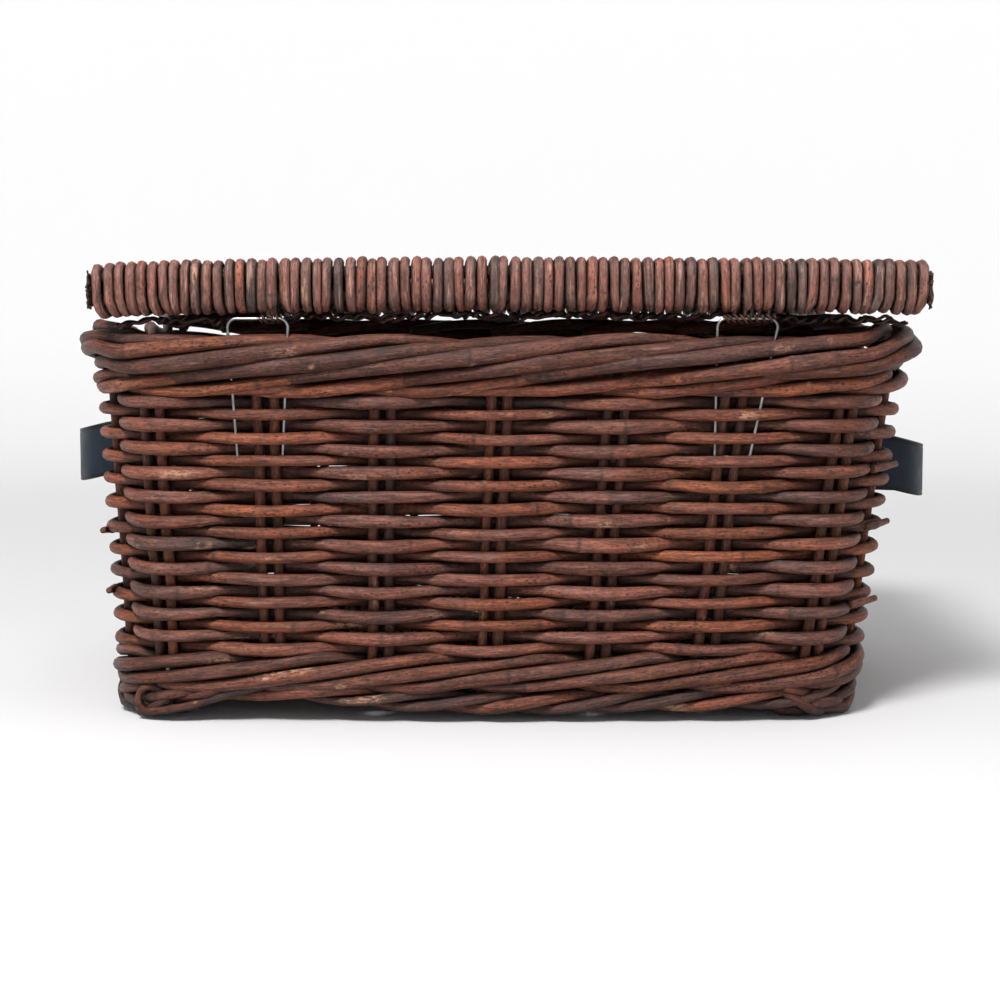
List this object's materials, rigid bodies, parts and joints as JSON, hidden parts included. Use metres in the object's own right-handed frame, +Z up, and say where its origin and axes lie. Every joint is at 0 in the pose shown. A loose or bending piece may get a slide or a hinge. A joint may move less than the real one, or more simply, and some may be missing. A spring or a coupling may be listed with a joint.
{
  "type": "wicker log basket",
  "caption": "Rectangular tapered wicker basket with a lid on wire hinges and a strap handle at each end.",
  "frame": {"origin": "on the floor under the middle of the basket", "axes": "+Z up, +X along the basket from one handle to the other, -Y towards the side that carries the hinges"},
  "size_m": [0.572, 0.375, 0.2845],
  "materials": {
    "willow_weave": "satin",
    "willow_stake": "satin",
    "willow_border": "satin",
    "willow_lid": "satin",
    "stripped_stick": "matte",
    "lashing": "matte",
    "steel_wire": "satin",
    "strap_leather": "satin"
  },
  "bodies": {
    "basket": {"base_weave": "willow_weave", "base_stick_1": "stripped_stick", "base_stick_2": "stripped_stick", "base_stick_3": "stripped_stick", "base_stick_4": "stripped_stick", "base_stick_5": "stripped_stick", "foot_border": "willow_border", "corner_foot_1": "willow_border", "corner_foot_2": "willow_border", "corner_foot_3": "willow_border", "corner_foot_4": "willow_border", "bottom_wale": "willow_border", "side_weave_front": "willow_weave", "side_weave_right": "willow_weave", "side_weave_back": "willow_weave", "side_weave_left": "willow_weave", "stake_01": "willow_stake", "stake_02": "willow_stake", "stake_03": "willow_stake", "stake_04": "willow_stake", "stake_05": "willow_stake", "stake_06": "willow_stake", "stake_07": "willow_stake", "stake_08": "willow_stake", "stake_09": "willow_stake", "stake_10": "willow_stake", "stake_11": "willow_stake", "stake_12": "willow_stake", "stake_13": "willow_stake", "stake_14": "willow_stake", "stake_15": "willow_stake", "stake_16": "willow_stake", "stake_17": "willow_stake", "stake_18": "willow_stake", "stake_19": "willow_stake", "stake_20": "willow_stake", "stake_21": "willow_stake", "stake_22": "willow_stake", "stake_23": "willow_stake", "stake_24": "willow_stake", "top_wale": "willow_border", "rim_border": "willow_border", "hinge_wire_left": "steel_wire", "hinge_wire_right": "steel_wire", "handle_left": "strap_leather", "handle_right": "strap_leather"},
    "lid": {"lid_weave": "willow_lid", "lid_near_stick_lower": "stripped_stick", "lid_near_stick_upper": "stripped_stick", "lid_far_stick_lower": "stripped_stick", "lid_far_stick_upper": "stripped_stick", "lid_rib_1": "stripped_stick", "lid_rib_2": "stripped_stick", "lid_rib_3": "stripped_stick", "lid_rib_4": "stripped_stick", "lid_end_bar_left": "stripped_stick", "lid_end_bar_right": "stripped_stick", "hinge_lashing_left": "lashing", "hinge_lashing_right": "lashing"}
  },
  "joints": [
    {"name": "lid_hinge", "type": "hinge", "parent": "basket", "child": "lid", "pos_m": [0, -0.17, 0.247], "axis": [1, 0, 0], "range_deg": [0, 95]}
  ]
}
